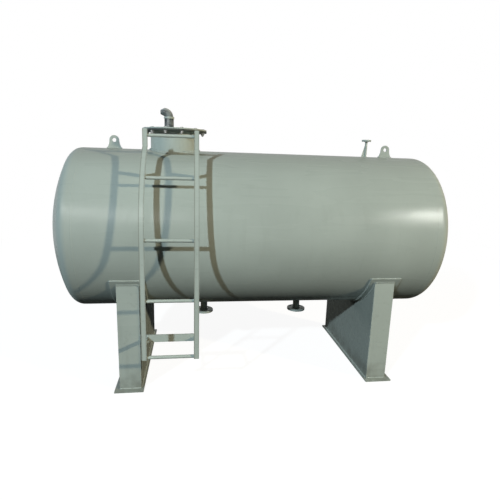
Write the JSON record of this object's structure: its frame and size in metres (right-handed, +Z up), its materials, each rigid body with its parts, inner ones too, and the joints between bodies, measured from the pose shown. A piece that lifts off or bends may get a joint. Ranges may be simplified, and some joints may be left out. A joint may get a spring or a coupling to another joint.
{
  "type": "horizontal storage tank",
  "caption": "Horizontal cylindrical steel storage tank on welded saddles, with dished ends, a bolted manhole, a gooseneck vent, flanged nozzles, lifting lugs and a fixed access ladder.",
  "frame": {"origin": "on the ground under the middle of the tank, at the centre of the four anchor holes", "axes": "+X along the tank from the manhole end to the plain end, +Y away from the ladder, +Z up"},
  "size_m": [3.2592, 1.44, 2.197],
  "materials": {
    "tank_paint": "semi-gloss grey-green paint",
    "gasket": "matt black sheet"
  },
  "bodies": {
    "root": {"shell": "tank_paint", "left_head": "tank_paint", "right_head": "tank_paint", "manhole_neck": "tank_paint", "manhole_flange": "tank_paint", "manhole_gasket": "gasket", "manhole_cover": "tank_paint", "vent_riser": "tank_paint", "vent_collar": "tank_paint", "vent_elbow": "tank_paint", "vent_spout": "tank_paint", "left_drain_pipe": "tank_paint", "left_drain_flange": "tank_paint", "right_drain_pipe": "tank_paint", "right_drain_flange": "tank_paint", "top_nozzle_stub": "tank_paint", "top_nozzle_flange": "tank_paint", "top_nozzle_gusset": "tank_paint", "left_lifting_lug": "tank_paint", "right_lifting_lug": "tank_paint", "left_wear_plate": "tank_paint", "left_base_plate": "tank_paint", "left_front_leg": "tank_paint", "left_rear_leg": "tank_paint", "left_saddle_web": "tank_paint", "left_saddle_rib": "tank_paint", "right_wear_plate": "tank_paint", "right_base_plate": "tank_paint", "right_front_leg": "tank_paint", "right_rear_leg": "tank_paint", "right_saddle_web": "tank_paint", "right_saddle_rib": "tank_paint", "ladder_left_rail": "tank_paint", "ladder_right_rail": "tank_paint", "ladder_rung_1": "tank_paint", "ladder_rung_2": "tank_paint", "ladder_rung_3": "tank_paint", "ladder_rung_4": "tank_paint", "ladder_rung_5": "tank_paint", "ladder_left_standoff": "tank_paint", "ladder_right_standoff": "tank_paint", "ladder_left_tie_standoff": "tank_paint", "ladder_right_tie_standoff": "tank_paint", "ladder_tie_bar": "tank_paint"}
  },
  "joints": []
}
